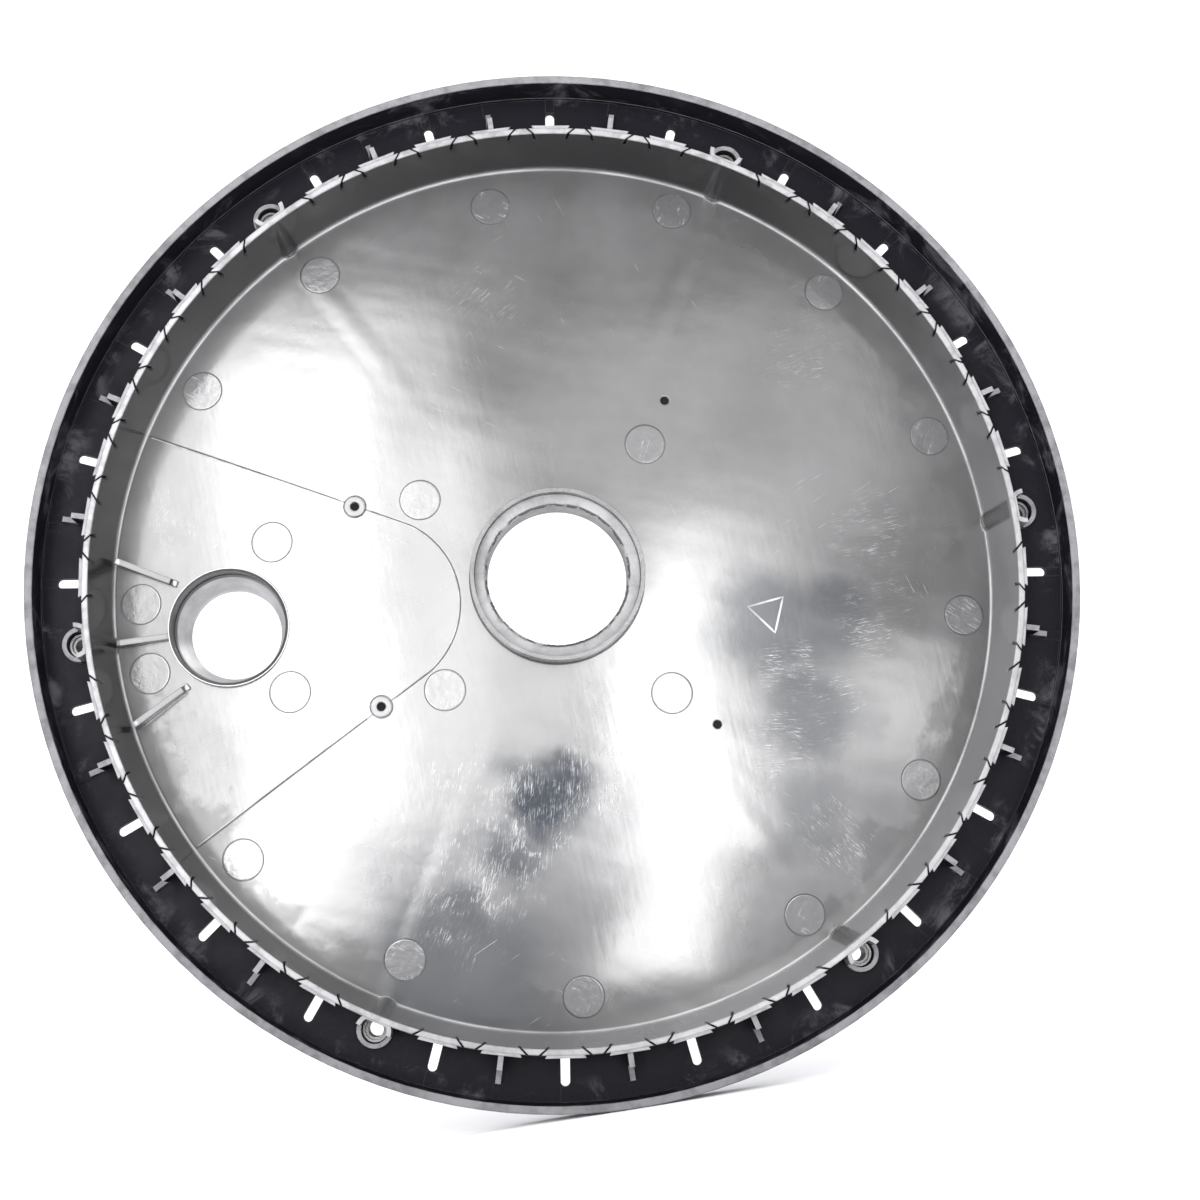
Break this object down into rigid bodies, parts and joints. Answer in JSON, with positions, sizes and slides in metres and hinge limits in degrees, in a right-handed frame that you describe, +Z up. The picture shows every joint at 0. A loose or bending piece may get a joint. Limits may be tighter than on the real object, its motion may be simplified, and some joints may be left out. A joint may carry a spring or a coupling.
{
  "type": "flywheel disc cover",
  "caption": "Round moulded wheel disc with a ribbed, slotted rim channel, a shallow pan, a hub bore and an offset crank-pin tube.",
  "frame": {"origin": "on the wheel axis, level with the crease where the domed pan floor meets the pan wall", "axes": "+Y along the wheel axis towards the front (closed) side, -Y towards the open inside; -X towards the crank-pin tube; +Z up, perpendicular to both"},
  "size_m": [0.525, 0.0585, 0.525],
  "materials": {
    "black_ring": "glossy",
    "gloss_pan": "glossy",
    "grey_liner": "satin",
    "ferrule": "satin"
  },
  "bodies": {
    "root": {"rim_ring": "black_ring", "lip_ring": "black_ring", "dish_pan": "gloss_pan", "crank_panel": "gloss_pan", "crank_tube": "gloss_pan", "crank_liner": "grey_liner", "hub_collar": "gloss_pan", "hub_bush": "grey_liner", "screw_ferrules": "ferrule", "blind_plugs": "black_ring"}
  },
  "joints": []
}
